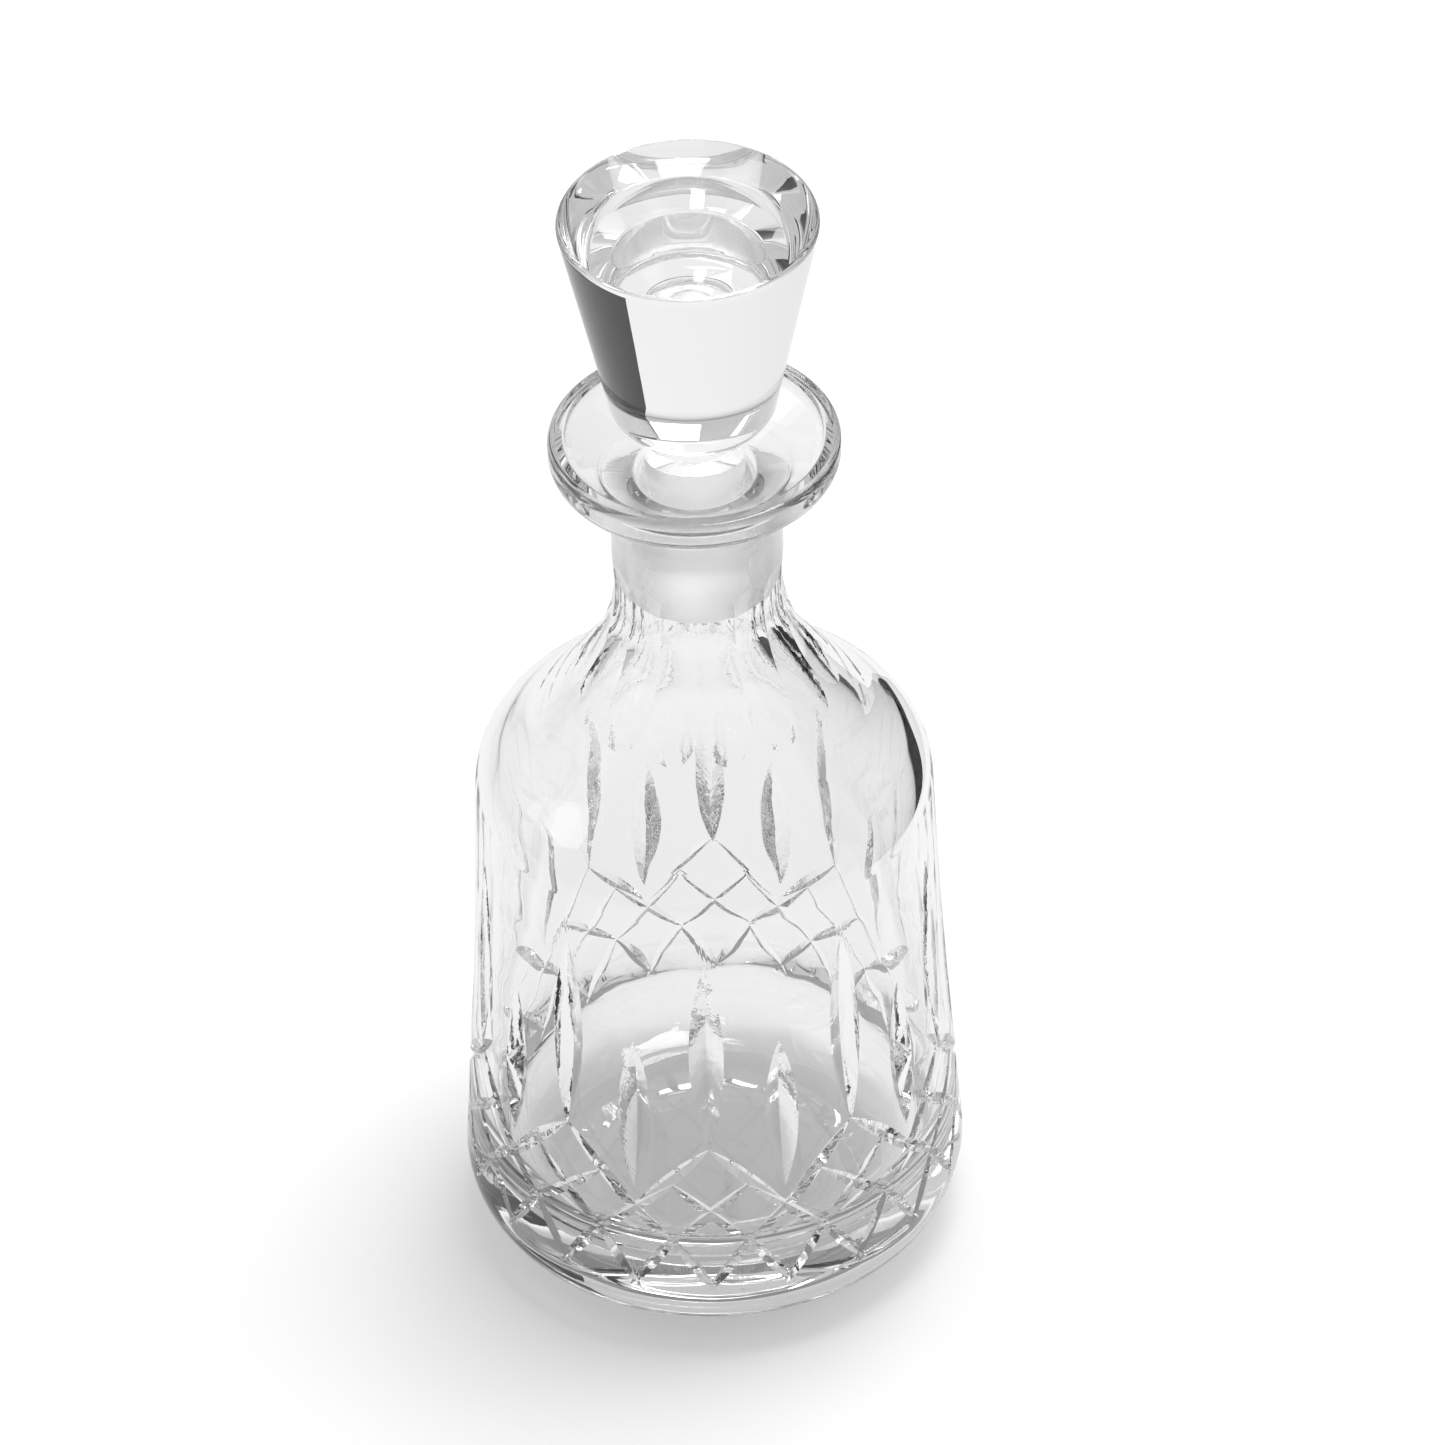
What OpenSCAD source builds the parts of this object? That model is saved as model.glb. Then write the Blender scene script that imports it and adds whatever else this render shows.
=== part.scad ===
// Cut crystal wine decanter with a solid cone stopper.
// The origin is the middle of the foot, +Z is the axis of the bottle.

/* [Body] */
// Widest diameter of the body, just above the heel
body_d = 107.6; // [90:0.2:130]
// Diameter of the foot on the table
foot_d = 81; // [66:0.5:88]
// Height of the corner that the heel is rounded from
heel_h = 10; // [6:0.5:16]
// Radius of the rounded heel
heel_r = 34; // [20:1:40]
// Body diameter half way up
waist_d = 99.6; // [88:0.2:118]
// Height of that diameter
waist_h = 75; // [65:1:85]
// Body diameter at the shoulder
shoulder_d = 96.4; // [82:0.2:112]
// Height of the shoulder corner
shoulder_h = 123; // [115:1:150]
// Radius of the rounded shoulder
shoulder_r = 14; // [6:0.1:20]

/* [Neck and lip] */
// Diameter at the foot of the neck cone
cone_d = 75; // [64:0.5:80]
// Rise of the shoulder from its corner to the neck cone
cone_rise = 9; // [6:0.5:12]
// Rise of the neck cone from there to the straight neck
neck_rise = 26; // [20:1:34]
// Radius of the sweep from cone to neck
neck_r = 47; // [30:1:50]
// Outside diameter of the neck
neck_d = 36; // [33:0.5:42]
// Length of the straight neck, from the end of the cone to the flare of the lip
neck_l = 37; // [32:1:50]
// Outside diameter of the lip
lip_d = 61; // [54:0.5:70]
// Rise of the flare under the lip
flare_rise = 9.4; // [7:0.2:12]
// Radius of the flare under the lip
flare_r = 23; // [14:1:26]
// Height of the bead round the lip
bead_h = 5.9; // [4:0.1:8]
// Width of the flat crest of the lip
crest_w = 3.4; // [2.6:0.1:5]
// Drop from the crest to the dish
dish_step = 2.1; // [1:0.1:3]
// Depth of the dish, from its edge down to the throat
dish_depth = 8; // [5:0.5:10]

/* [Glass] */
// Thickness of the body wall
wall = 4.8; // [4:0.1:6]
// Thickness of the floor
floor_t = 13; // [10:0.5:20]
// Radius of the inside corner at the floor
floor_r = 36; // [20:1:40]
// Radius of the inside corner at the shoulder
inner_shoulder_r = 12; // [4:0.5:24]
// How far out the inside shoulder stands from where an even wall would put it
inner_shoulder_out = 0.5; // [0:0.05:1.5]
// How far down the inside shoulder stands from where an even wall would put it
inner_shoulder_drop = 0.75; // [0:0.05:1.5]
// Width of the flat ring that the foot stands on
foot_ring = 7; // [4:0.5:10]
// Depth of the hollow under the foot
punt = 1.5; // [0.8:0.1:2.5]
// Width of the slope at the edge of that hollow
punt_edge = 8; // [4:0.5:12]

/* [Stopper] */
// Diameter of the ground peg at its top
peg_d = 24.4; // [22:0.1:26]
// Length of the ground peg
peg_l = 24.5; // [18:0.5:28]
// Narrowing of the peg's diameter from top to bottom
peg_taper = 2.4; // [1:0.1:3]
// Radial gap between the ground peg and its seat
seat_gap = 0.05; // [0.02:0.01:0.10]
// Height of the polished round shoulder over the peg
peg_shoulder = 5.5; // [4:0.5:7]
// Diameter of the stopper's own neck
stem_d = 20.8; // [17:0.2:21]
// Height of the stopper's own neck, from the peg's shoulder to the head
stem_l = 11.3; // [11:0.1:15]
// Diameter of the head where its cone begins
head_base_d = 34.3; // [30:0.1:40]
// Drop of the head's underside from there to the stopper's neck
head_drop = 4.6; // [3:0.2:6]
// Diameter of the flat top
head_top_d = 54.8; // [46:0.2:60]
// Height of the head
head_h = 53.7; // [44:0.1:62]
// Radius of the rounded underside of the head
head_r = 5; // [3:0.5:6]
// Radius of the polished edge of the flat top
rim_r = 1.2; // [0.6:0.1:2]

/* [Cutting] */
// Number of tall cuts round the body, with a short one between each two
cuts = 10; // [8:1:12]
// Length of a tall cut
tall_l = 49; // [42:1:54]
// Height of the lower end of the tall cuts
tall_z = 56.5; // [54:0.5:60]
// Length of a short cut
short_l = 38.5; // [30:0.5:42]
// Height of the lower end of the short cuts
short_z = 45; // [43:0.5:48]
// Depth of the tall and short cuts
cut_depth = 2.1; // [1.5:0.1:2.4]
// Half the angle of the broad wheel
broad_angle = 62; // [50:1:68]
// Height of the crossings under the short cuts
cross_z = 39.5; // [38:0.5:42]
// Step down from those crossings to the next row
row_upper = 8; // [6:0.5:9]
// Step down from there to the last row
row_lower = 12; // [9:0.5:13]
// Depth of the leaf cuts
leaf_depth = 1.3; // [0.9:0.1:1.6]
// Depth of the diamond cuts
diamond_depth = 1.1; // [0.7:0.1:1.3]
// Half the angle of the diamond wheel
mitre_angle = 50; // [40:1:60]
// Number of flutes round the neck
flutes = 14; // [10:1:18]
// Depth of the flutes
flute_depth = 0.8; // [0.5:0.1:1.1]
// Radius of the fluting wheel
flute_wheel = 42.5; // [38:0.5:50]
// Turn of the whole pattern about the axis
pattern_turn = -1.5; // [-18:0.5:18]

/* [Hidden] */
$fn = 96;
crystal = [0.86, 0.92, 0.95, 0.55];
// Longest step of an arc in an outline, in degrees
arc_step = 7.5;
// Depth of the triangle that a V wheel's rim is drawn with
rim_depth = 4;
// How far that rim is drawn past the ends of its cut
rim_margin = 1.5;
// Height of the flutes over the mean height of the neck and its cone
flute_rise = 3.7;
// How far the diamond wheel runs past the crossings that it joins
overrun = 1.35;

// Heights that follow from the sizes above
cone_z = shoulder_h + cone_rise;
neck_z = cone_z + neck_rise;
flare_z = neck_z + neck_l;
bead_z = flare_z + flare_rise;
crest_z = bead_z + bead_h;
dish_z = crest_z - dish_step;
throat_z = dish_z - dish_depth;
peg_top_z = throat_z - 3.5;
peg_bottom_z = peg_top_z - peg_l;
seat_end_z = peg_bottom_z - 1.5;
stem_z = peg_top_z + peg_shoulder;
head_z = stem_z + stem_l;

// Outlines: [radius, height, fillet radius] for each corner
function flat(p) = [p.x, p.y];
function unit(v) = v / norm(v);
function turned(v) = [v.y, -v.x];
function cross2(a, b) = a.x * b.y - a.y * b.x;
function fit_cut(a, b, c, half, r) = min(r / tan(half), 0.49 * norm(a - b), 0.49 * norm(c - b));
function fillet(a, b, c, r) =
    let (u = unit(a - b), w = unit(c - b), half = acos(max(-1, min(1, u * w))) / 2)
    half > 89.7 ? [b] :
    let (cut = fit_cut(a, b, c, half, r), rr = cut * tan(half))
    let (middle = b + unit(u + w) * rr / sin(half), p = b + u * cut - middle)
    let (sweep = (180 - 2 * half) * sign(cross2(b - a, c - b)), n = max(2, ceil(abs(sweep) / arc_step)))
    [for (i = [0:n]) middle + [p.x * cos(sweep * i / n) - p.y * sin(sweep * i / n),
                               p.x * sin(sweep * i / n) + p.y * cos(sweep * i / n)]];
function rounded(path) = [for (i = [0:len(path) - 1])
    each (path[i].z == 0 ? [flat(path[i])]
        : fillet(flat(path[i - 1]), flat(path[i]), flat(path[i + 1]), path[i].z))];
// The corner b moved inwards so that both its sides lie t further in
function inset_corner(a, b, c, t) =
    let (u = unit(b - a), w = unit(c - b), p = b - turned(u) * t, q = b - turned(w) * t)
    p + u * cross2(q - p, w) / cross2(u, w);
function inset(path, i, t, r, out = 0, drop = 0) =
    let (q = inset_corner(flat(path[i - 1]), flat(path[i]), flat(path[i + 1]), t)) [q.x + out, q.y - drop, r];

skin = [
    [foot_d / 2, 0, 0],
    [body_d / 2, heel_h, heel_r],
    [waist_d / 2, waist_h, 1000],
    [shoulder_d / 2, shoulder_h, shoulder_r],
    [cone_d / 2, cone_z, 30],
    [neck_d / 2, neck_z, neck_r],
    [neck_d / 2, flare_z, flare_r],
    [lip_d / 2, bead_z, 4.1],
    [lip_d / 2, crest_z, 3],
    [lip_d / 2 - crest_w, crest_z, 0.8],
];
seat_top_r = peg_d / 2 + seat_gap;
seat_slope = peg_taper / 2 / peg_l;
function seat_r(z) = seat_top_r - (peg_top_z - z) * seat_slope;
dish_r = lip_d / 2 - crest_w - 1.7;
inside = [
    [dish_r, dish_z, 1.5],
    [seat_r(throat_z), throat_z, 2],
    [seat_r(seat_end_z), seat_end_z, 1],
    [seat_r(seat_end_z) + 0.4, neck_z + 1, 30],
    inset(skin, 4, wall, 34),
    inset(skin, 3, wall, inner_shoulder_r, inner_shoulder_out, inner_shoulder_drop),
    inset(skin, 2, wall, 1000),
    [body_d / 2 - wall, floor_t, floor_r],
    [0, floor_t, 0],
];
foot = [[0, punt, 0], [foot_d / 2 - foot_ring - punt_edge, punt, 20], [foot_d / 2 - foot_ring, 0, 0]];
outline = rounded(concat(foot, skin, inside));

// Radius and slope of the skin at a height
skin_table = [for (p = rounded(concat(skin, [[dish_r, dish_z, 0]]))) if (p.y < bead_z) [p.y, p.x]];
function skin_r(z) = lookup(z, skin_table);
function skin_lean(z) = atan((skin_r(z - 1) - skin_r(z + 1)) / 2);

// The stretch of a V wheel's rim that meets the glass, its axis along Z
module v_rim(wheel_r, half_angle, length) {
    half_t = rim_depth * tan(half_angle);
    reach = asin(min(1, (length / 2 + rim_margin) / wheel_r));
    rotate([0, 0, 180 - reach])
        rotate_extrude(angle = 2 * reach)
        polygon([[wheel_r, 0], [wheel_r - rim_depth, half_t], [wheel_r - rim_depth, -half_t]]);
}

// Puts a wheel's centre over the skin so that its rim sinks in by depth
module at_skin(turn, z, tilt, wheel_r, depth) {
    rotate([0, 0, turn - 90])
        translate([skin_r(z), 0, z])
        rotate([0, -skin_lean(z), 0])
        rotate([tilt, 0, 0])
        translate([wheel_r - depth, 0, 0])
        rotate([90, 0, 0])
        children();
}

// One V cut of a given length, tilted from upright
module wheel_cut(turn, z, tilt, length, depth, half_angle) {
    bend = pow(sin(tilt), 2) / skin_r(z);
    wheel_r = 1 / max(8 * depth / pow(length, 2) - bend, 1 / 400);
    at_skin(turn, z, tilt, wheel_r, depth) v_rim(wheel_r, half_angle, length);
}

// The cut that joins two crossings: [turn, height] of each
module joining_cut(from, to, depth, reach) {
    mid = (from + to) / 2;
    across = (to.x - from.x) * PI / 180 * skin_r(mid.y);
    along = (from.y - to.y) / cos(skin_lean(mid.y));
    wheel_cut(mid.x, mid.y, atan2(across, along), reach * norm([across, along]), depth, mitre_angle);
}

module upright_cuts() {
    for (i = [0:cuts - 1]) {
        wheel_cut(i * 360 / cuts, tall_z + tall_l / 2, 0, tall_l, cut_depth, broad_angle);
        wheel_cut((i + 0.5) * 360 / cuts, short_z + short_l / 2, 0, short_l, cut_depth, broad_angle);
    }
}

module leaf_cuts() {
    half = 180 / cuts;
    for (i = [0:cuts - 1], side = [-1, 1])
        joining_cut([2 * half * i, tall_z], [2 * half * i + side * half, cross_z + 0.5], leaf_depth, 1.04);
}

// The diamond cuts that lean to one side
module diamond_cuts(side) {
    quarter = 90 / cuts;
    for (i = [0:2 * cuts - 1]) {
        turn = 2 * quarter * i;
        mid_turn = turn + side * quarter;
        joining_cut([turn - side * quarter, cross_z + row_upper - 1], [mid_turn, cross_z - row_upper],
                    diamond_depth, 1.2);
        joining_cut([mid_turn, cross_z - row_upper],
                    [mid_turn + side * quarter, cross_z - row_upper - row_lower], diamond_depth, overrun);
    }
}

// The stretch of the fluting wheel that meets the neck, its axis along Z
module flute_rim() {
    rotate([0, 0, 140])
        rotate_extrude(angle = 80)
        translate([flute_wheel - 8, -6.5])
        square([8, 13]);
}

module neck_flutes() {
    z = (cone_z + neck_z + flare_z) / 3 + flute_rise;
    for (i = [0:flutes - 1])
        at_skin((i + 0.5) * 360 / flutes, z, 0, flute_wheel, flute_depth)
            flute_rim();
}

module blank() {
    rotate_extrude() polygon(outline);
}

module bottle() {
    color(crystal)
        rotate([0, 0, pattern_turn])
        difference() {
            difference() {
                difference() {
                    difference() {
                        blank();
                        upright_cuts();
                        neck_flutes();
                    }
                    leaf_cuts();
                }
                diamond_cuts(-1);
            }
            diamond_cuts(1);
        }
}

peg_r = peg_d / 2;
stem_r = stem_d / 2;
stopper_outline = rounded([
    [0, peg_bottom_z, 0],
    [peg_r - peg_taper / 2, peg_bottom_z, 0.6],
    [peg_r, peg_top_z, 1],
    [stem_r + 0.2, stem_z, 9],
    [stem_r, head_z, 1.2],
    [head_base_d / 2, head_z + head_drop, head_r],
    [head_top_d / 2, head_z + head_h, rim_r],
    [0, head_z + head_h, 0],
]);

module stopper() {
    color(crystal) rotate_extrude() polygon(stopper_outline);
}

bottle();
stopper();
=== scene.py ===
import math

import bpy
from mathutils import Matrix, Vector


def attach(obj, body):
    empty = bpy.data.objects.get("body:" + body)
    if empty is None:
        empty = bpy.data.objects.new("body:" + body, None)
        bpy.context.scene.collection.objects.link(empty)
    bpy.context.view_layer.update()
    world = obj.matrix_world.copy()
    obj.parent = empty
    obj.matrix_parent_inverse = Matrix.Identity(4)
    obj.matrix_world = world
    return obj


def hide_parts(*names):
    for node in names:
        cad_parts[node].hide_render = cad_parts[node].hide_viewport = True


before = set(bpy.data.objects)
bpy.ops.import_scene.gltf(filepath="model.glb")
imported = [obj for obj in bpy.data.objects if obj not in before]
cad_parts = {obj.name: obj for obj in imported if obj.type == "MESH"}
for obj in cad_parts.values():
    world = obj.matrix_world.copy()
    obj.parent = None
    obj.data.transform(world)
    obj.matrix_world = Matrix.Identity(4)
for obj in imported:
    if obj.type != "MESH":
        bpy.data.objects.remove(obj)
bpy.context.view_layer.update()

# A wine decanter of cut lead crystal with its solid stopper, on a white table.
# The sizes of the glass are in millimetres and degrees, and MM turns them to Blender's metres.
# The sizes and places of the studio are in metres.

MM = 0.001

# ---------------------------------------------------------------- sizes of the bottle
BODY_D, FOOT_D, HEEL_H, HEEL_R = 107.6, 81.0, 10.0, 34.0
WAIST_D, WAIST_H, WAIST_R = 99.6, 75.0, 1000.0
SHOULDER_D, SHOULDER_H, SHOULDER_R = 96.4, 123.0, 14.0
CONE_D, CONE_RISE, CONE_R = 75.0, 9.0, 30.0
NECK_RISE, NECK_R, NECK_D, NECK_L = 26.0, 47.0, 36.0, 37.0
LIP_D, FLARE_RISE, FLARE_R, BEAD_H, BEAD_R = 61.0, 9.4, 23.0, 5.9, 4.1
CREST_W, CREST_R, CREST_EDGE_R = 3.4, 3.0, 0.8
DISH_STEP, DISH_RIM_W, DISH_RIM_R, DISH_DEPTH, THROAT_R = 2.1, 1.7, 1.5, 8.0, 2.0
WALL, FLOOR_T, FLOOR_R = 4.8, 13.0, 36.0
INNER_SHOULDER_R, INNER_SHOULDER_OUT, INNER_SHOULDER_DROP = 12.0, 0.5, 0.75
INNER_CONE_R, INNER_NECK_R, INNER_NECK_RISE = 34.0, 30.0, 1.0
FOOT_RING, PUNT, PUNT_EDGE, PUNT_R = 7.0, 1.5, 8.0, 20.0

# ---------------------------------------------------------------- sizes of the stopper and its seat
PEG_D, PEG_L, PEG_TAPER, PEG_EDGE_R, PEG_TOP_R = 24.4, 24.5, 2.4, 0.6, 1.0
PEG_SINK, PEG_SHOULDER = 3.5, 5.5
SEAT_GAP, SEAT_OVERRUN, SEAT_END_R, SEAT_STEP = 0.05, 1.5, 1.0, 0.4
STEM_D, STEM_L, STEM_SPREAD, STEM_FOOT_R, STEM_TOP_R = 20.8, 11.3, 0.2, 9.0, 1.2
HEAD_BASE_D, HEAD_TOP_D, HEAD_H, HEAD_DROP = 34.3, 54.8, 53.7, 4.6
HEAD_R, RIM_R = 5.0, 1.2

# ---------------------------------------------------------------- sizes of the cutting
CUTS, TALL_L, TALL_Z, SHORT_L, SHORT_Z = 10, 49.0, 56.5, 38.5, 45.0
CUT_DEPTH, BROAD_ANGLE = 2.1, 62.0
CROSS_Z, ROW_UPPER, ROW_LOWER = 39.5, 8.0, 12.0
LEAF_DEPTH, LEAF_END, LEAF_OVERRUN = 1.3, 0.5, 1.04
DIAMOND_DEPTH, DIAMOND_START, UPPER_OVERRUN, LOWER_OVERRUN = 1.1, 1.0, 1.2, 1.35
MITRE_ANGLE, LARGEST_WHEEL_R = 50.0, 400.0
FLUTES, FLUTE_DEPTH, FLUTE_WHEEL, FLUTE_RISE, FLUTE_REACH = 14, 0.8, 42.5, 3.7, 40.0
PATTERN_TURN = -1.5

# Heights that follow from the sizes above
CONE_Z = SHOULDER_H + CONE_RISE
NECK_Z = CONE_Z + NECK_RISE
FLARE_Z = NECK_Z + NECK_L
BEAD_Z = FLARE_Z + FLARE_RISE
CREST_Z = BEAD_Z + BEAD_H
DISH_Z = CREST_Z - DISH_STEP
THROAT_Z = DISH_Z - DISH_DEPTH
PEG_TOP_Z = THROAT_Z - PEG_SINK
PEG_BOTTOM_Z = PEG_TOP_Z - PEG_L
SEAT_END_Z = PEG_BOTTOM_Z - SEAT_OVERRUN
STEM_Z = PEG_TOP_Z + PEG_SHOULDER
HEAD_Z = STEM_Z + STEM_L

# ---------------------------------------------------------------- fineness of the meshes
ROUND = 288          # steps round a turned piece
ARC_STEP = 3.0       # longest step of an arc in an outline
RIM_STEP = 0.5       # step round the rim of a cutting wheel
CREASE = 12.0        # edges sharper than this stay sharp
MERGE_GAP = 0.002    # points closer than this are one
STRAIGHT = 89.7      # half of a corner's angle past which it needs no arc
SIDE_SHARE = 0.49    # most of a side that one arc may take
RIM_DEPTH, RIM_MARGIN = 4.0, 1.5   # of the triangle that a V wheel's rim is drawn with
FLUTE_W, FLUTE_RIM = 13.0, 8.0     # of the section of the fluting wheel's rim


# ---------------------------------------------------------------- outlines
def fillet(a, b, c, radius):
    """The arc that rounds the corner b between a and c."""
    u, w = (a - b).normalized(), (c - b).normalized()
    half = u.angle(w) / 2
    if half > math.radians(STRAIGHT):
        return [b]
    longest = SIDE_SHARE * min((a - b).length, (c - b).length)
    cut = min(radius / math.tan(half), longest)
    middle = b + (u + w).normalized() * cut / math.cos(half)
    start = b + u * cut - middle
    turn = math.copysign(math.pi - 2 * half, (b - a).x * (c - b).y - (b - a).y * (c - b).x)
    steps = max(2, math.ceil(abs(math.degrees(turn)) / ARC_STEP))
    return [middle + Matrix.Rotation(turn * i / steps, 2) @ start for i in range(steps + 1)]


def rounded(corners):
    """The outline through corners of (radius, height, fillet radius)."""
    points = [Vector(corner[:2]) for corner in corners]
    outline = []
    for i, (point, corner) in enumerate(zip(points, corners)):
        outline += [point] if corner[2] == 0 else fillet(points[i - 1], point, points[i + 1], corner[2])
    return outline


def inset(corners, i, t, radius, out=0, drop=0):
    """Corner i moved inwards so that both its sides lie t further in, then out and down."""
    a, b, c = (Vector(corners[j][:2]) for j in (i - 1, i, i + 1))
    u, w = (b - a).normalized(), (c - b).normalized()
    p, q = b - Vector((u.y, -u.x)) * t, b - Vector((w.y, -w.x)) * t
    gap = q - p
    moved = p + u * (gap.x * w.y - gap.y * w.x) / (u.x * w.y - u.y * w.x)
    return (moved.x + out, moved.y - drop, radius)


def seat_r(z):
    """Radius of the ground seat at a height: it follows the peg's taper at the gap."""
    return PEG_D / 2 + SEAT_GAP - (PEG_TOP_Z - z) * PEG_TAPER / 2 / PEG_L


CREST_INNER_R = LIP_D / 2 - CREST_W
DISH_R = CREST_INNER_R - DISH_RIM_W
HOLLOW_R = FOOT_D / 2 - FOOT_RING
SKIN = [
    (FOOT_D / 2, 0, 0),
    (BODY_D / 2, HEEL_H, HEEL_R),
    (WAIST_D / 2, WAIST_H, WAIST_R),
    (SHOULDER_D / 2, SHOULDER_H, SHOULDER_R),
    (CONE_D / 2, CONE_Z, CONE_R),
    (NECK_D / 2, NECK_Z, NECK_R),
    (NECK_D / 2, FLARE_Z, FLARE_R),
    (LIP_D / 2, BEAD_Z, BEAD_R),
    (LIP_D / 2, CREST_Z, CREST_R),
    (CREST_INNER_R, CREST_Z, CREST_EDGE_R),
]
INSIDE = [
    (DISH_R, DISH_Z, DISH_RIM_R),
    (seat_r(THROAT_Z), THROAT_Z, THROAT_R),
    (seat_r(SEAT_END_Z), SEAT_END_Z, SEAT_END_R),
    (seat_r(SEAT_END_Z) + SEAT_STEP, NECK_Z + INNER_NECK_RISE, INNER_NECK_R),
    inset(SKIN, 4, WALL, INNER_CONE_R),
    inset(SKIN, 3, WALL, INNER_SHOULDER_R, INNER_SHOULDER_OUT, INNER_SHOULDER_DROP),
    inset(SKIN, 2, WALL, WAIST_R),
    (BODY_D / 2 - WALL, FLOOR_T, FLOOR_R),
    (0, FLOOR_T, 0),
]
FOOT = [(0, PUNT, 0), (HOLLOW_R - PUNT_EDGE, PUNT, PUNT_R), (HOLLOW_R, 0, 0)]
STOPPER = [
    (0, PEG_BOTTOM_Z, 0),
    (PEG_D / 2 - PEG_TAPER / 2, PEG_BOTTOM_Z, PEG_EDGE_R),
    (PEG_D / 2, PEG_TOP_Z, PEG_TOP_R),
    (STEM_D / 2 + STEM_SPREAD, STEM_Z, STEM_FOOT_R),
    (STEM_D / 2, HEAD_Z, STEM_TOP_R),
    (HEAD_BASE_D / 2, HEAD_Z + HEAD_DROP, HEAD_R),
    (HEAD_TOP_D / 2, HEAD_Z + HEAD_H, RIM_R),
    (0, HEAD_Z + HEAD_H, 0),
]
skin_line = [point for point in rounded(SKIN + [(DISH_R, DISH_Z, 0)]) if point.y < BEAD_Z]


def skin_r(z):
    """Radius of the bottle's skin at a height."""
    for low, high in zip(skin_line, skin_line[1:]):
        if low.y <= z <= high.y:
            return low.x + (high.x - low.x) * (z - low.y) / (high.y - low.y)
    raise ValueError(f"no skin at {z}")


def skin_lean(z):
    """How far the skin leans in from upright at a height, in radians."""
    return math.atan((skin_r(z - 1) - skin_r(z + 1)) / 2)


# ---------------------------------------------------------------- turning and grinding
def begin(name):
    """A new piece of one vertex at the origin, in edit mode."""
    bpy.ops.object.select_all(action="DESELECT")
    bpy.ops.mesh.primitive_plane_add(size=MM)
    piece = bpy.context.object
    piece.name = name
    piece.data.name = name
    bpy.ops.object.mode_set(mode="EDIT")
    bpy.ops.mesh.select_mode(type="VERT")
    bpy.ops.mesh.merge(type="CENTER")
    return piece


def draw(points):
    """Extrudes the one vertex of a new piece along an outline in the XZ plane."""
    here = Vector((0, 0, 0))
    for i, point in enumerate(points):
        there = Vector((point[0], 0, point[1])) * MM
        if i == 0:
            bpy.ops.transform.translate(value=there - here)
        else:
            bpy.ops.mesh.extrude_region_move(TRANSFORM_OT_translate={"value": there - here})
        here = there


def close():
    """Merges doubles, fills open ends and turns all faces outwards, and leaves edit mode."""
    bpy.ops.mesh.select_all(action="SELECT")
    bpy.ops.mesh.remove_doubles(threshold=MERGE_GAP * MM)
    bpy.ops.mesh.fill_holes(sides=8)
    bpy.ops.mesh.select_all(action="SELECT")
    bpy.ops.mesh.normals_make_consistent(inside=False)
    bpy.ops.object.mode_set(mode="OBJECT")


def turned(name, corners):
    """A glass piece turned about the Z axis from its outline."""
    piece = begin(name)
    draw(rounded(corners))
    bpy.ops.mesh.select_all(action="SELECT")
    bpy.ops.mesh.spin(steps=ROUND, angle=2 * math.pi, center=(0, 0, 0), axis=(0, 0, 1))
    close()
    return piece


def wheel_rim(wheel_r, section, reach):
    """The stretch of a grinding wheel's rim that meets the glass.

    The wheel's axis is Z, and the rim runs from the -X side round by twice the reach."""
    piece = begin("wheel")
    draw([(-wheel_r + inwards, width) for inwards, width in section + section[:1]])
    bpy.ops.mesh.select_all(action="SELECT")
    steps = math.ceil(math.degrees(2 * reach) / RIM_STEP)
    bpy.ops.mesh.spin(steps=steps, angle=2 * reach, center=(0, 0, 0), axis=(0, 0, 1))
    close()
    return piece


def at_skin(turn, z, tilt, wheel_r, depth, reach):
    """Where a wheel stands whose rim sinks in by depth, at a turn and height of the skin."""
    return (
        Matrix.Rotation(math.radians(turn + PATTERN_TURN - 90), 4, "Z")
        @ Matrix.Translation(Vector((skin_r(z), 0, z)) * MM)
        @ Matrix.Rotation(-skin_lean(z), 4, "Y")
        @ Matrix.Rotation(tilt, 4, "X")
        @ Matrix.Translation(Vector((wheel_r - depth, 0, 0)) * MM)
        @ Matrix.Rotation(math.pi / 2, 4, "X")
        @ Matrix.Rotation(reach, 4, "Z")
    )


def grind(piece, wheel, places):
    """Cuts a copy of the wheel out of the piece at each place, and removes the wheel.

    The ground faces take the piece's second material."""
    bpy.ops.object.select_all(action="DESELECT")
    for place in places:
        copy = wheel.copy()
        copy.data = wheel.data.copy()
        copy.data.transform(place)
        bpy.context.collection.objects.link(copy)
        copy.select_set(True)
        bpy.context.view_layer.objects.active = copy
    bpy.ops.object.join()
    wheels = bpy.context.object
    for face in wheels.data.polygons:
        face.material_index = 1
    cut = piece.modifiers.new("cut", "BOOLEAN")
    cut.operation = "DIFFERENCE"
    cut.solver = "MANIFOLD"
    cut.object = wheels
    bpy.context.view_layer.objects.active = piece
    bpy.ops.object.modifier_apply(modifier=cut.name)
    for gone in (wheels, wheel):
        bpy.data.meshes.remove(gone.data)


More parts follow.
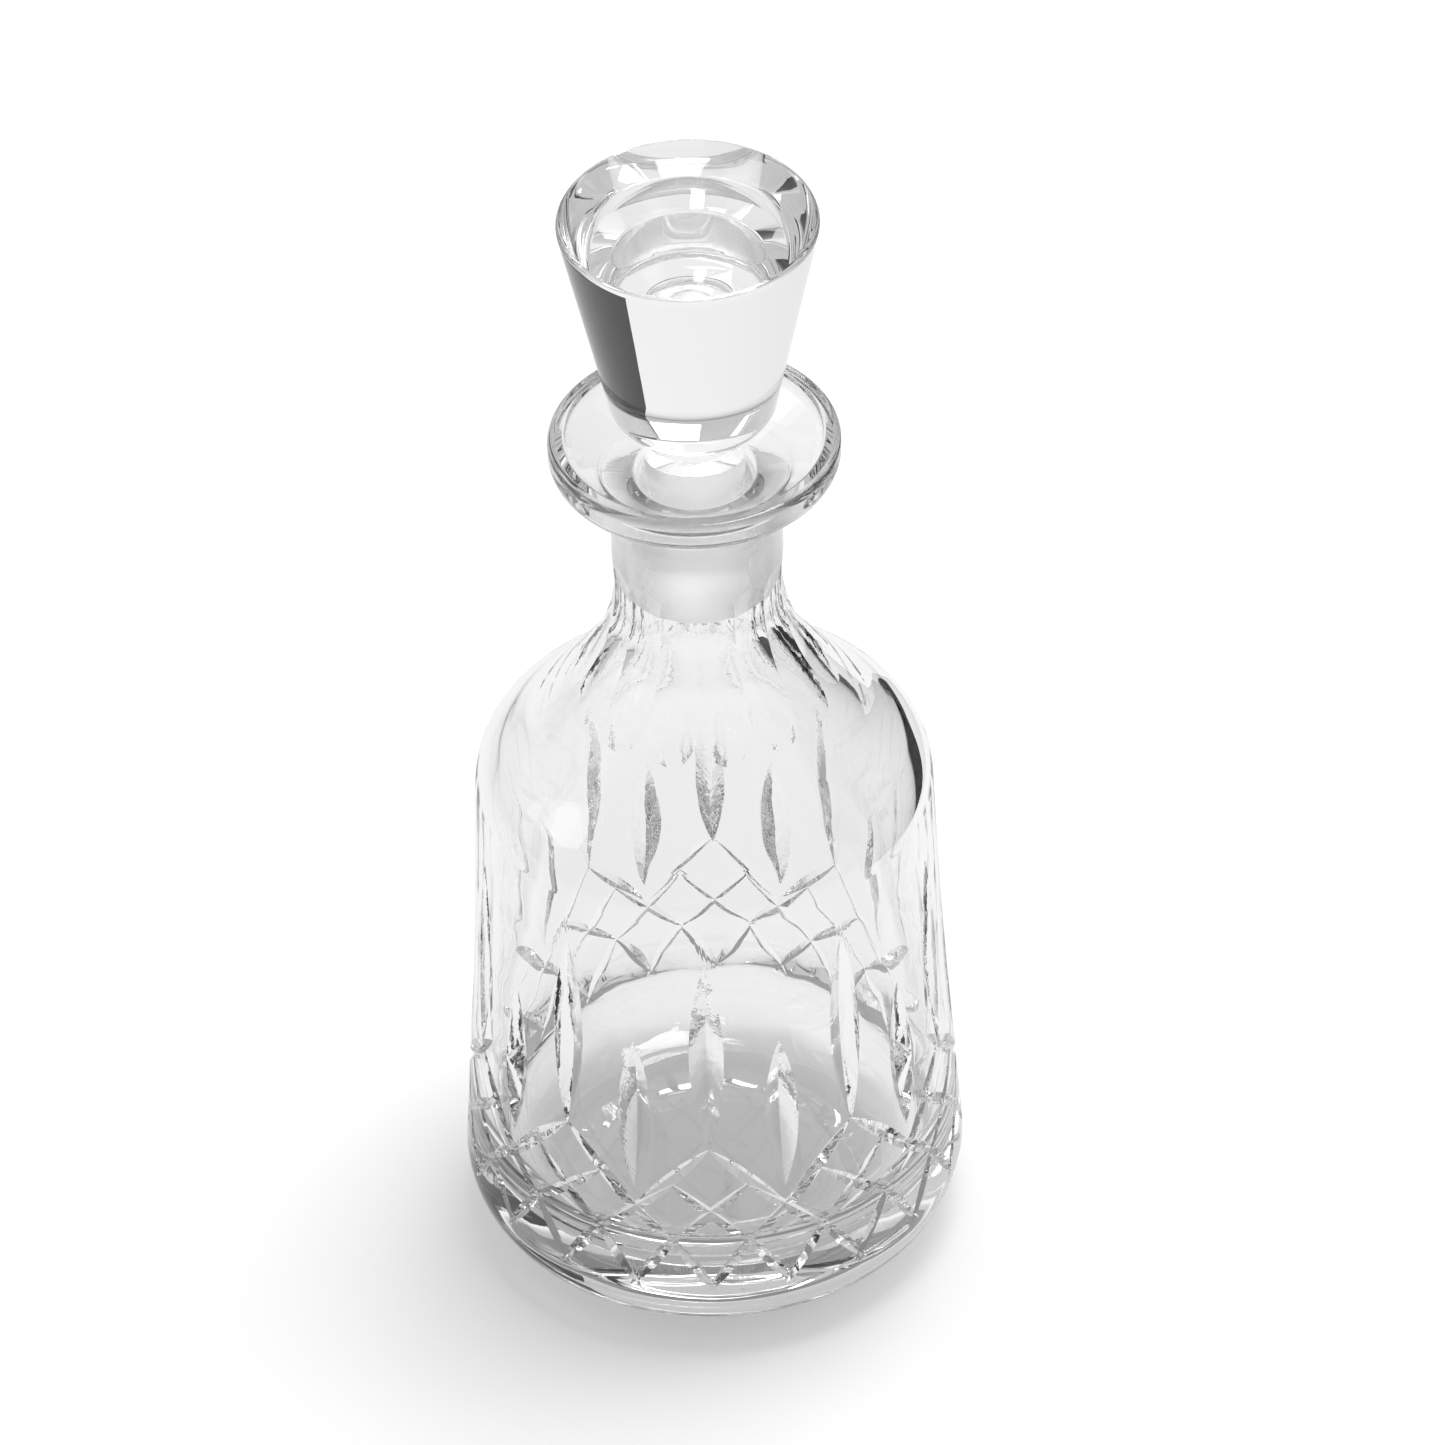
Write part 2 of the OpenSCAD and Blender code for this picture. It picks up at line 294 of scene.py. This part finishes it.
def v_cuts(piece, spots, length, depth, half_angle):
    """V cuts of one length and depth: each spot is (turn, height, tilt).

    The wheel's radius comes from the length and depth of its cut, less the skin's own curve."""
    turn, z, tilt = spots[0]
    bend = math.sin(tilt) ** 2 / skin_r(z)
    wheel_r = 1 / max(8 * depth / length ** 2 - bend, 1 / LARGEST_WHEEL_R)
    reach = math.asin(min(1, (length / 2 + RIM_MARGIN) / wheel_r))
    half_t = RIM_DEPTH * math.tan(math.radians(half_angle))
    wheel = wheel_rim(wheel_r, [(0, 0), (RIM_DEPTH, half_t), (RIM_DEPTH, -half_t)], reach)
    grind(piece, wheel, [at_skin(*spot, wheel_r, depth, reach) for spot in spots])


def joining_cuts(piece, start, end, turns, depth, overrun):
    """V cuts that join two crossings, (turn, height) each, repeated at the turns."""
    mid = (Vector(start) + Vector(end)) / 2
    across = math.radians(end[0] - start[0]) * skin_r(mid.y)
    along = (start[1] - end[1]) / math.cos(skin_lean(mid.y))
    spots = [(mid.x + turn, mid.y, math.atan2(across, along)) for turn in turns]
    v_cuts(piece, spots, overrun * math.hypot(across, along), depth, MITRE_ANGLE)


def upright_cuts(bottle):
    """The tall cuts, and the short ones halfway between them."""
    for length, low, first in ((TALL_L, TALL_Z, 0), (SHORT_L, SHORT_Z, 0.5)):
        spots = [((i + first) * 360 / CUTS, low + length / 2, 0) for i in range(CUTS)]
        v_cuts(bottle, spots, length, CUT_DEPTH, BROAD_ANGLE)


def leaf_cuts(bottle):
    """The zigzag of slim cuts from the tall cuts' ends down to the crossings."""
    half = 180 / CUTS
    turns = [2 * half * i for i in range(CUTS)]
    for side in (-1, 1):
        foot = (side * half, CROSS_Z + LEAF_END)
        joining_cuts(bottle, (0, TALL_Z), foot, turns, LEAF_DEPTH, LEAF_OVERRUN)


def diamond_cuts(bottle):
    """The lattice round the foot, one leaning row of cuts over the other."""
    quarter = 90 / CUTS
    turns = [2 * quarter * i for i in range(2 * CUTS)]
    for side in (-1, 1):
        top = (-side * quarter, CROSS_Z + ROW_UPPER - DIAMOND_START)
        middle = (side * quarter, CROSS_Z - ROW_UPPER)
        bottom = (2 * side * quarter, CROSS_Z - ROW_UPPER - ROW_LOWER)
        joining_cuts(bottle, top, middle, turns, DIAMOND_DEPTH, UPPER_OVERRUN)
        joining_cuts(bottle, middle, bottom, turns, DIAMOND_DEPTH, LOWER_OVERRUN)


def flute_neck(bottle):
    """Flat flutes round the neck, every other one at a time so that the wheels stay apart."""
    z = (CONE_Z + NECK_Z + FLARE_Z) / 3 + FLUTE_RISE
    reach = math.radians(FLUTE_REACH)
    half_w = FLUTE_W / 2
    section = [(0, -half_w), (FLUTE_RIM, -half_w), (FLUTE_RIM, half_w), (0, half_w)]
    for first in (0, 1):
        turns = [(i + 0.5) * 360 / FLUTES for i in range(first, FLUTES, 2)]
        wheel = wheel_rim(FLUTE_WHEEL, section, reach)
        grind(bottle, wheel, [at_skin(turn, z, 0, FLUTE_WHEEL, FLUTE_DEPTH, reach) for turn in turns])


def crease(piece):
    """Smooth glass with sharp edges where cuts meet each other or the skin."""
    bpy.ops.object.select_all(action="DESELECT")
    bpy.context.view_layer.objects.active = piece
    piece.select_set(True)
    bpy.ops.object.shade_smooth()
    bpy.ops.object.mode_set(mode="EDIT")
    bpy.ops.mesh.select_mode(type="EDGE")
    bpy.ops.mesh.select_all(action="DESELECT")
    bpy.ops.mesh.edges_select_sharp(sharpness=math.radians(CREASE))
    bpy.ops.mesh.mark_sharp()
    bpy.ops.mesh.select_mode(type="FACE")
    ground_slots = (1, 2)
    for slot in ground_slots:
        if slot < len(piece.material_slots):
            bpy.ops.mesh.select_all(action="DESELECT")
            piece.active_material_index = slot
            bpy.ops.object.material_slot_select()
            bpy.ops.mesh.region_to_loop()
            bpy.ops.mesh.mark_sharp()
            bpy.ops.mesh.select_mode(type="FACE")
    bpy.ops.object.mode_set(mode="OBJECT")


# ---------------------------------------------------------------- materials
WHITE, OFF_WHITE, SHADOW_GREY, BLACK = "#FFFFFF", "#EDEDED", "#E9E9E9", "#050505"
CRYSTAL_IOR = 1.545                      # of glass with 24% lead oxide
GROUND_ROUGHNESS = 0.45
GRIT, GRIT_DEPTH = 0.6, 0.05             # coarser than the real grit, so that it shows


def linear(code):
    """An sRGB hex colour as linear red, green, blue and alpha."""
    parts = [int(code[i:i + 2], 16) / 255 for i in (1, 3, 5)]
    return [p / 12.92 if p <= 0.04045 else ((p + 0.055) / 1.055) ** 2.4 for p in parts] + [1.0]


def cleared(block):
    """A new material or world, ready for its nodes."""
    block.use_nodes = True
    block.node_tree.nodes.clear()
    return block


def add(block, kind, links=(), **settings):
    """Adds a node, sets its sockets or properties, and links (output, input) pairs into it."""
    node = block.node_tree.nodes.new(kind)
    for key, value in settings.items():
        name = key.replace("_", " ")
        if name in node.inputs:
            node.inputs[name].default_value = value
        else:
            setattr(node, key, value)
    for output, name in links:
        block.node_tree.links.new(output, node.inputs[name])
    return node


def either(block, chosen, usual, other):
    """The usual shader, and the other one where chosen is 1."""
    links = [(chosen, "Fac"), (usual.outputs[0], 1), (other.outputs[0], 2)]
    return add(block, "ShaderNodeMixShader", links)


def clear_glass(name, scale, detail, strength, depth, roughness):
    """Colourless lead crystal with a fine relief in its surface, of a given size and depth.

    Shadow and diffuse rays go through it, dimmed, so it throws the light grey shadow that crystal does."""
    material = cleared(bpy.data.materials.new(name))
    place = add(material, "ShaderNodeTexCoord")
    relief = add(material, "ShaderNodeTexNoise", [(place.outputs["Object"], "Vector")],
                 Scale=1 / (scale * MM), Detail=detail)
    bump = add(material, "ShaderNodeBump", [(relief.outputs["Fac"], "Height")],
               Strength=strength, Distance=depth * MM)
    glass = add(material, "ShaderNodeBsdfPrincipled", [(bump.outputs["Normal"], "Normal")],
                Base_Color=linear(WHITE), Roughness=roughness, IOR=CRYSTAL_IOR, Transmission_Weight=1.0)
    rays = add(material, "ShaderNodeLightPath")
    through = add(material, "ShaderNodeMath",
                  [(rays.outputs["Is Shadow Ray"], 0), (rays.outputs["Is Diffuse Ray"], 1)],
                  operation="MAXIMUM")
    dimmed = add(material, "ShaderNodeBsdfTransparent", Color=linear(SHADOW_GREY))
    both = either(material, through.outputs[0], glass, dimmed)
    add(material, "ShaderNodeOutputMaterial", [(both.outputs[0], "Surface")])
    return material


def crystal(name, ripple, depth, detail):
    """Lead crystal, 24% lead oxide, polished: it bends light more than window glass does, so it sparkles.

    Its faint ripple, of a given length and depth, makes reflections waver."""
    return clear_glass(name, ripple, detail, strength=1.0, depth=depth, roughness=0.0)


def ground_crystal(name):
    """The same crystal ground with fine grit: the seat and the peg scatter light and look grey-white."""
    return clear_glass(name, GRIT, detail=4.0, strength=0.6, depth=GRIT_DEPTH, roughness=GROUND_ROUGHNESS)


def matt_paint(name, code):
    """Matt paint on card: it takes light evenly and has no gloss."""
    material = cleared(bpy.data.materials.new(name))
    coat = add(material, "ShaderNodeBsdfDiffuse", Color=linear(code))
    add(material, "ShaderNodeOutputMaterial", [(coat.outputs[0], "Surface")])
    return material


def table_paint(name):
    """Matt white paint: pure white to the eye, and a little greyer in the light that it throws back."""
    material = cleared(bpy.data.materials.new(name))
    rays = add(material, "ShaderNodeLightPath")
    white = add(material, "ShaderNodeBsdfDiffuse", Color=linear(WHITE))
    grey = add(material, "ShaderNodeBsdfDiffuse", Color=linear(OFF_WHITE))
    both = either(material, rays.outputs["Is Camera Ray"], grey, white)
    add(material, "ShaderNodeOutputMaterial", [(both.outputs[0], "Surface")])
    return material


# ---------------------------------------------------------------- which faces are which glass
GROUND_INSET, GROUND_REACH = 0.5, 1.0    # over a ground cone's lower end, and past its radius
THROAT_CLEAR, PEG_TOP_OVER = 1.5, 0.2    # where grinding stops: under the throat, over the peg's top
UPRIGHT, LEVEL = 0.5, 0.5                # a normal's Z: under the one a side, over the other a floor
INSIDE_DEPTH, FLOOR_MARGIN = 2.0, 1.0    # under the skin and the floor, past which a face is inside


def paint(piece, *materials):
    """Gives a piece its materials."""
    piece.data.materials.clear()
    for material in materials:
        piece.data.materials.append(material)


def ground_faces(piece, low, high):
    """Puts the ground glass, the piece's last material, on the faces of a seat or peg."""
    last = len(piece.data.materials) - 1
    for face in piece.data.polygons:
        middle = face.center / MM
        near = math.hypot(middle.x, middle.y) < PEG_D / 2 + GROUND_REACH
        if near and low + GROUND_INSET < middle.z < high and abs(face.normal.z) < UPRIGHT:
            face.material_index = last


def inside_faces(piece, material):
    """Puts a material on the bottle's blown inside, below the seat."""
    piece.data.materials.append(material)
    last = len(piece.data.materials) - 1
    for face in piece.data.polygons:
        middle, normal = face.center / MM, face.normal
        if not FLOOR_T - FLOOR_MARGIN < middle.z < SEAT_END_Z:
            continue
        faces_axis = normal.x * middle.x + normal.y * middle.y < 0 or normal.z > LEVEL
        if faces_axis and math.hypot(middle.x, middle.y) < skin_r(middle.z) - INSIDE_DEPTH:
            face.material_index = last


# ---------------------------------------------------------------- the two pieces
# Skin and stopper: polished so well that only a very long, low ripple is left
polished = crystal("polished_lead_crystal", ripple=9, depth=0.02, detail=0.0)
# Cuts and flutes: polished in acid after grinding, which leaves a short ripple that glitters
cut_face = crystal("cut_and_polished_facets", ripple=1.6, depth=0.05, detail=2.0)
# Inside: never polished, so it keeps the slow waves that blowing leaves
blown = crystal("blown_lead_crystal", ripple=17, depth=0.22, detail=1.0)
ground = ground_crystal("ground_glass")

bottle = turned("cut_bottle", FOOT + SKIN + INSIDE)
paint(bottle, polished, cut_face, ground)
ground_faces(bottle, SEAT_END_Z, THROAT_Z - THROAT_CLEAR)
inside_faces(bottle, blown)
upright_cuts(bottle)
leaf_cuts(bottle)
diamond_cuts(bottle)
flute_neck(bottle)
crease(bottle)
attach(bottle, "bottle")
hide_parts("bottle")

stopper = turned("cone_stopper", STOPPER)
paint(stopper, polished, ground)
ground_faces(stopper, PEG_BOTTOM_Z, PEG_TOP_Z + PEG_TOP_OVER)
crease(stopper)
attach(stopper, "stopper")
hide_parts("stopper")

# ---------------------------------------------------------------- the studio
TABLE = 8.0
FLAG_SIZE, FLAG_PLACE, FLAG_AIM = (0.6, 0.5), (0.275, 0.2, 0.25), (-0.018, 0.137, 0.25)
KEY_PLACE, KEY_SIZE, KEY_POWER = (0.3, 0.28, 1.9), 0.9, 31
FILL_PLACE, FILL_SIZE, FILL_POWER = (-1.2, 0.2, 1.3), 1.0, 3
LIGHT_AIM = (0, 0, 0.1)
ROOM, ROOM_SEEN, ROOM_ON_MATT = 0.55, 1.0, 0.27    # strength in the glass, to the eye, on the table


def facing(place, aim):
    """The turn that faces something at a place towards a point."""
    return (Vector(place) - Vector(aim)).to_track_quat("Z", "Y").to_euler()


def sheet(name, size, material):
    """A flat square of a material, lying at the origin."""
    bpy.ops.object.select_all(action="DESELECT")
    bpy.ops.mesh.primitive_plane_add(size=size)
    piece = bpy.context.object
    piece.name = name
    piece.data.materials.append(material)
    return piece


def flag(name, size, place, aim):
    """A black card that faces a point, seen only through and in the glass."""
    piece = sheet(name, 1, matt_paint(name, BLACK))
    piece.scale = (size[0], size[1], 1)
    piece.rotation_euler = facing(place, aim)
    piece.location = place
    piece.visible_camera = False
    piece.visible_shadow = False
    piece.visible_diffuse = False
    return piece


def softbox(name, place, size, power):
    """A soft square light that faces the bottle."""
    light = bpy.data.lights.new(name, "AREA")
    light.shape = "RECTANGLE"
    light.size = light.size_y = size
    light.energy = power
    lamp = bpy.data.objects.new(name, light)
    lamp.location = place
    lamp.rotation_euler = facing(place, LIGHT_AIM)
    bpy.context.collection.objects.link(lamp)


def pale_room():
    """An even white room, at one strength in the glass, one to the eye and one on the table."""
    world = cleared(bpy.data.worlds.new("studio"))
    bpy.context.scene.world = world
    rays = add(world, "ShaderNodeLightPath")
    in_glass, seen, on_matt = (
        add(world, "ShaderNodeBackground", Color=linear(WHITE), Strength=strength)
        for strength in (ROOM, ROOM_SEEN, ROOM_ON_MATT)
    )
    glass_or_seen = either(world, rays.outputs["Is Camera Ray"], in_glass, seen)
    all_three = either(world, rays.outputs["Is Diffuse Ray"], glass_or_seen, on_matt)
    add(world, "ShaderNodeOutputWorld", [(all_three.outputs[0], "Surface")])


sheet("white_table", TABLE, table_paint("white_table"))
flag("black_flag", FLAG_SIZE, FLAG_PLACE, FLAG_AIM)
pale_room()
softbox("key", KEY_PLACE, KEY_SIZE, KEY_POWER)
softbox("fill", FILL_PLACE, FILL_SIZE, FILL_POWER)

# ---------------------------------------------------------------- the camera
ELEVATION, ROLL = math.radians(40.42), math.radians(-1.66)
DISTANCE, AIM = 3158.6 * MM, Vector((4.18, 0, 131.5)) * MM
LENS, SENSOR_W, CLIP_END = 373.7, 36, 100

camera = bpy.data.objects.new("camera", bpy.data.cameras.new("camera"))
bpy.context.collection.objects.link(camera)
camera.data.lens = LENS
camera.data.sensor_width = SENSOR_W
camera.data.clip_end = CLIP_END
back = Vector((0, -math.cos(ELEVATION), math.sin(ELEVATION)))
camera.location = AIM + back * DISTANCE
camera.rotation_mode = "QUATERNION"
look = back.to_track_quat("Z", "Y").to_matrix() @ Matrix.Rotation(ROLL, 3, "Z")
camera.rotation_quaternion = look.to_quaternion()
bpy.context.scene.camera = camera

# Clear glass needs many bounces before light is out of it
cycles = bpy.context.scene.cycles
cycles.max_bounces = 32
cycles.transmission_bounces = 32
cycles.glossy_bounces = 12
cycles.transparent_max_bounces = 24
bpy.context.scene.view_settings.view_transform = "Standard"
